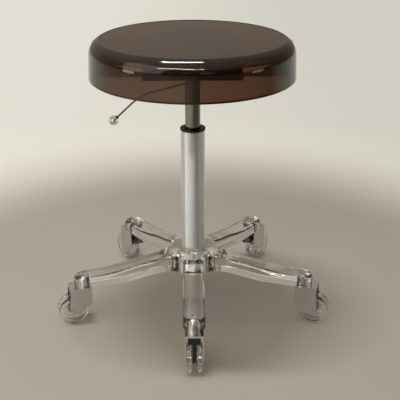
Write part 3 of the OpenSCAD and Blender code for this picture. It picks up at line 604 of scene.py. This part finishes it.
def star_outline():
    """The plan of the star, anticlockwise, round its own centre."""
    points = []
    start = FILLET_AT * math.cos(ARM_STEP / 2)
    along = [start + (STEM_AT - start) * i / 16 for i in range(1, 16)]
    for arm in ARMS:
        turn = Matrix.Rotation(arm, 2)
        points += [turn @ Vector((x, -HALF_ARM)) for x in along]
        points += [turn @ Vector(p) for p in arc(STEM_AT, 0, HALF_ARM, -90, 90, 24)]
        points += [turn @ Vector((x, HALF_ARM)) for x in reversed(along)]
        centre = turn @ Vector((start, FILLET_AT * math.sin(ARM_STEP / 2)))
        turns = [arm + math.radians(-90 - (180 - ARM_TURN) * i / 12) for i in range(13)]
        points += [centre + FILLET * Vector((math.cos(a), math.sin(a))) for a in turns]
    return points


def round_bar(name, radius, low, high, centre, edge=0.0, corners=96):
    """A round bar on a vertical axis, its upper edge rounded if an edge radius is given."""
    deselect()
    bpy.ops.mesh.primitive_cylinder_add(vertices=corners, radius=radius, depth=high - low,
                                        location=(centre[0], centre[1], (low + high) / 2))
    made = bpy.context.object
    made.name = name
    bpy.ops.object.transform_apply(location=True)
    if edge:
        select_where(made, lambda c, n: n.z > 0.9)
        bpy.ops.mesh.bevel(offset=edge, segments=4, affect="EDGES")
        bpy.ops.object.mode_set(mode="OBJECT")
    return made


# The star is drawn in plan as a flat blank, given its thickness and its rounded edges, and then
# its faces move to the arms' top and bottom lines; boss, disc and bores come after.
outline = star_outline()
deselect()
bpy.ops.mesh.primitive_circle_add(vertices=len(outline), radius=0.2, fill_type="NGON")
star = bpy.context.object
star.name = "clear_star_base"
for vertex, point in zip(star.data.vertices, outline):
    vertex.co = (point.x, point.y, -BLANK_HALF)
bpy.ops.object.mode_set(mode="EDIT")
bpy.ops.mesh.select_all(action="SELECT")
bpy.ops.mesh.extrude_region_move(TRANSFORM_OT_translate={"value": (0, 0, BLANK_RISE)})
select_where(star, lambda c, n: True)
bpy.ops.mesh.normals_make_consistent(inside=False)
bpy.ops.object.mode_set(mode="OBJECT")
select_where(star, lambda c, n: n.z > 0.9)
for i in range(TOP_EDGE_STEPS):
    a0, a1 = (math.radians(90 * k / TOP_EDGE_STEPS) for k in (i, i + 1))
    bpy.ops.mesh.inset(thickness=TOP_EDGE_R * (math.cos(a0) - math.cos(a1)),
                       depth=TOP_EDGE_R * (math.sin(a1) - math.sin(a0)))
bpy.ops.mesh.quads_convert_to_tris(ngon_method="BEAUTY")
bpy.ops.mesh.subdivide(number_cuts=3)
bpy.ops.object.mode_set(mode="OBJECT")
select_where(star, lambda c, n: n.z < -0.9)
bpy.ops.mesh.inset(thickness=LOW_EDGE, depth=LOW_EDGE)
bpy.ops.mesh.quads_convert_to_tris(ngon_method="BEAUTY")
bpy.ops.mesh.subdivide(number_cuts=3)
bpy.ops.object.mode_set(mode="OBJECT")
for vertex in star.data.vertices:
    r = math.hypot(vertex.co.x, vertex.co.y)
    upper = vertex.co.z > 0
    vertex.co.z += on_line(TOP_LINE, r) - BLANK_HALF if upper else on_line(LOW_LINE, r) + BLANK_HALF
    vertex.co += AXIS
select_where(star, lambda c, n: True)
bpy.ops.mesh.quads_convert_to_tris(ngon_method="BEAUTY")
bpy.ops.object.mode_set(mode="OBJECT")
BOSS_R, BOSS_LOW, BOSS_TOP = 30 * MM, 72 * MM, 100 * MM
DISC_R, DISC_TOP = 33.8 * MM, 125.5 * MM
UNDER_STAR, OVER_STAR = 60 * MM, 140 * MM
TUBE_ROOM_R = 22.55 * MM
SLEEVE_ROOM_R, SLEEVE_ROOM_TOP = 7.55 * MM, 93 * MM
cut_or_join(star, round_bar("hub_boss", BOSS_R, BOSS_LOW, BOSS_TOP, AXIS), "UNION")
cut_or_join(star, round_bar("hub_disc", DISC_R, BOSS_TOP, DISC_TOP, AXIS, edge=0.8 * MM), "UNION")
cut_or_join(star, round_bar("hub_bore", TUBE_ROOM_R, UNDER_STAR, OVER_STAR, AXIS), "DIFFERENCE")
for arm in ARMS:
    at = AXIS + STEM_AT * Vector((math.cos(arm), math.sin(arm), 0))
    cut_or_join(star, round_bar("sleeve_bore", SLEEVE_ROOM_R, UNDER_STAR, SLEEVE_ROOM_TOP, at,
                                corners=48), "DIFFERENCE")
smooth(star, 32)

# Clear acrylic: water-white with the faintest warm cast in its depth.
WATER_WHITE = (0.6, 0.55, 0.4, 1)
CLEAR_DEPTH = 2.5
PALE_DUST = linear("E8E6E0")
clear = cast_acrylic("clear cast acrylic", colour=WATER_WHITE, density=CLEAR_DEPTH,
                     wave=0.02 * MM, haze=(0.0, 0.03), bloom=PALE_DUST, share=0.008)
fit_out(star, clear, "base", "clear_plastic", "star_base")

# Release lever. A chrome rod darkened with painted shade, 3.5 mm thick, bent twice; its inner end
# rises behind the cylinder to a sleeve on the pivot pin with a pressing tab, its outer end has a
# clear knob.
LEVER_Y = AXIS.y + 24 * MM
ROD_R = 1.75 * MM
PIN_ROOM_R = 2.05 * MM
TAB_HALF, TAB_LOW, TAB_TOP = 4 * MM, 504.717 * MM, 507.217 * MM
BENDS = (9, 9, 3, 3)
LEVER_LINE = [Vector((x * MM, LEVER_Y, z * MM)) for x, z in (
    (-146.9, 371.4), (-108.4, 407.8), (-86, 423.4), (-13, 442.2), (-9, 447.2), (-9, 505.6))]
# The rod's middle line, its corners eased over so many millimetres on each side.
route = [LEVER_LINE[0]]
for before, at, after, bend in zip(LEVER_LINE, LEVER_LINE[1:], LEVER_LINE[2:], BENDS):
    start = at + (before - at).normalized() * bend * MM
    end = at + (after - at).normalized() * bend * MM
    route += [start.lerp(at, t / 6).lerp(at.lerp(end, t / 6), t / 6) for t in range(7)]
route.append(LEVER_LINE[-1])
deselect()
bpy.ops.curve.primitive_nurbs_path_add()
lever = bpy.context.object
lever.name = "lever_bent_rod"
lever.data.splines.clear()
line = lever.data.splines.new("POLY")
line.points.add(len(route) - 1)
for point, at in zip(line.points, route):
    point.co = (at.x, at.y, at.z, 1)
lever.data.bevel_depth = ROD_R
lever.data.bevel_resolution = 5
lever.data.use_fill_caps = True
bpy.ops.object.convert(target="MESH")
lever = bpy.context.object
smooth(lever, 50)

SLEEVE_AT = Vector((-9 * MM, AXIS.y + 6 * MM, 508.295 * MM))
sleeve = lathe("lever_sleeve",
               [(PIN_ROOM_R, -22.4 * MM), (3.2 * MM, -22.4 * MM), (3.6 * MM, -22 * MM),
                (3.6 * MM, 22 * MM), (3.2 * MM, 22.4 * MM), (PIN_ROOM_R, 22.4 * MM)],
               (0, 0, 0), steps=40)
sleeve.rotation_euler = (math.pi / 2, 0, 0)
sleeve.location = SLEEVE_AT
bpy.ops.object.transform_apply(location=True, rotation=True)
tab = block("lever_tab", (-11.5 * MM, AXIS.y - TAB_HALF, TAB_LOW),
            (4 * MM, AXIS.y + TAB_HALF, TAB_TOP), edge=0.5 * MM)
pin_room = round_bar("pin_room", PIN_ROOM_R, -10 * MM, 10 * MM, (0, 0, 0), corners=40)
pin_room.rotation_euler = (math.pi / 2, 0, 0)
pin_room.location = SLEEVE_AT - Vector((0, 6 * MM, 0))
deselect()
pin_room.select_set(True)
bpy.ops.object.transform_apply(location=True, rotation=True)
cut_or_join(tab, pin_room, "DIFFERENCE")
cut_or_join(sleeve, tab, "UNION")
cut_or_join(lever, sleeve, "UNION")
smooth(lever, 40)
fit_out(lever, chrome_in_painted_shade, "lever", "chrome", "lever_rod")

KNOB_AT = LEVER_LINE[0]
BALL_R = 3.8 * MM
KNOB_R = 9.2 * MM
KNOB_TURN = (LEVER_LINE[1] - KNOB_AT).to_track_quat("Z", "Y").to_euler()


def on_lever_end(obj):
    """Turns a piece made at the origin to lie along the lever's end, and moves it there."""
    deselect()
    obj.select_set(True)
    bpy.context.view_layer.objects.active = obj
    obj.rotation_euler = KNOB_TURN
    obj.location = KNOB_AT
    bpy.ops.object.transform_apply(location=True, rotation=True)
    smooth(obj, 60)
    return obj


tip = on_lever_end(lathe("lever_end_ball", [(0, -BALL_R)] + arc(0, 0, BALL_R, -80, 55, 14)
                         + [(2.1 * MM, 3.9 * MM), (2.0 * MM, 5.2 * MM), (0, 5.4 * MM)],
                         (0, 0, 0), closed=False, steps=40))
fit_out(tip, chrome, "lever", "chrome", "lever_tip")
knob = on_lever_end(lathe("lever_clear_knob", [(0, -KNOB_R)] + arc(0, 0, KNOB_R, -82, 64, 22)
                          + [(3.3 * MM, 9.2 * MM), (3.0 * MM, 10.2 * MM), (2.4 * MM, 10.6 * MM),
                             (0, 10.6 * MM)],
                          (0, 0, 0), closed=False, steps=56))
fit_out(knob, clear, "lever", "clear_plastic", "lever_knob")

# Casters. Each has a steel stem in a sleeve in the arm's end, a chromed hood over a black core,
# and two clear wheels with moulded ribs on one axle. One is made and set round the star.

# Moulded clear polycarbonate: the same clearness, but the mould's ripples make it sparkle.
moulded = cast_acrylic("moulded clear polycarbonate", colour=WATER_WHITE, density=CLEAR_DEPTH,
                       wave=0.6 * MM, haze=(0.0, 0.02), bloom=PALE_DUST, share=0.008, span=5 * MM)

# Chromed zinc casting: the same plate over a casting whose flats wave a little, so that they
# draw what they mirror into streaks.
cast_chrome, tree = new_material("chromed zinc casting")
place = add_node(tree, "ShaderNodeTexCoord")
film = add_node(tree, "ShaderNodeTexNoise", {"Scale": 1 / (20 * MM), "Detail": 4.0},
                {"Vector": place.outputs["Object"]})
gloss = add_node(tree, "ShaderNodeMapRange",
                 {"From Min": 0.35, "From Max": 0.7, "To Min": 0.04, "To Max": 0.12},
                 {"Value": film.outputs["Fac"]})
shade = add_node(tree, "ShaderNodeMix", {"A": linear("C8C9CA"), "B": linear("E0E0E0")},
                 {"Factor": film.outputs["Fac"]}, data_type="RGBA")
squeezed = add_node(tree, "ShaderNodeMapping", {"Scale": (1, 1, 0.35)},
                    {"Vector": place.outputs["Object"]})
flow = add_node(tree, "ShaderNodeTexNoise", {"Scale": 1 / (9 * MM), "Detail": 1.0},
                {"Vector": squeezed.outputs["Vector"]})
relief = add_node(tree, "ShaderNodeBump", {"Strength": 1.0, "Distance": 0.5 * MM},
                  {"Height": flow.outputs["Fac"]})
skin = add_node(tree, "ShaderNodeBsdfPrincipled", {"Metallic": 1.0},
                {"Base Color": shade.outputs["Result"], "Roughness": gloss.outputs["Result"],
                 "Normal": relief.outputs["Normal"]})
add_node(tree, "ShaderNodeOutputMaterial", links={"Surface": skin.outputs["BSDF"]})

ENDS = ["front", "right", "back_right", "back_left", "left"]
# Each part with its material, its slot, its edges' radius in millimetres, and the angle in degrees
# up to which its faces are shaded as one.
PARTS = (("stem", zinc, "plain_steel", 0.5, 35), ("sleeve", zinc, "plain_steel", 0.3, 35),
         ("core", nylon, "black_plastic", 0.5, 30), ("hood", cast_chrome, "chrome", 0.6, 30),
         ("axle", zinc, "plain_steel", 0.3, 35), ("wheel_a", moulded, "clear_plastic", 0.25, 30),
         ("wheel_b", moulded, "clear_plastic", 0.25, 30))
for part, material, slot, edge, angle in PARTS:
    first = likeness("caster_%s_front" % part, edge=edge * MM, angle=angle)
    for i, end in enumerate(ENDS):
        piece = first
        if i:
            piece = bpy.data.objects.new("made_caster_%s_%s" % (part, end), first.data.copy())
            bpy.context.scene.collection.objects.link(piece)
            piece.data.transform(Matrix.Translation(AXIS) @ Matrix.Rotation(i * ARM_STEP, 4, "Z")
                                 @ Matrix.Translation(-AXIS))
        node = "caster_%s_%s" % (part, end)
        fit_out(piece, material, body_of(node), slot, node)
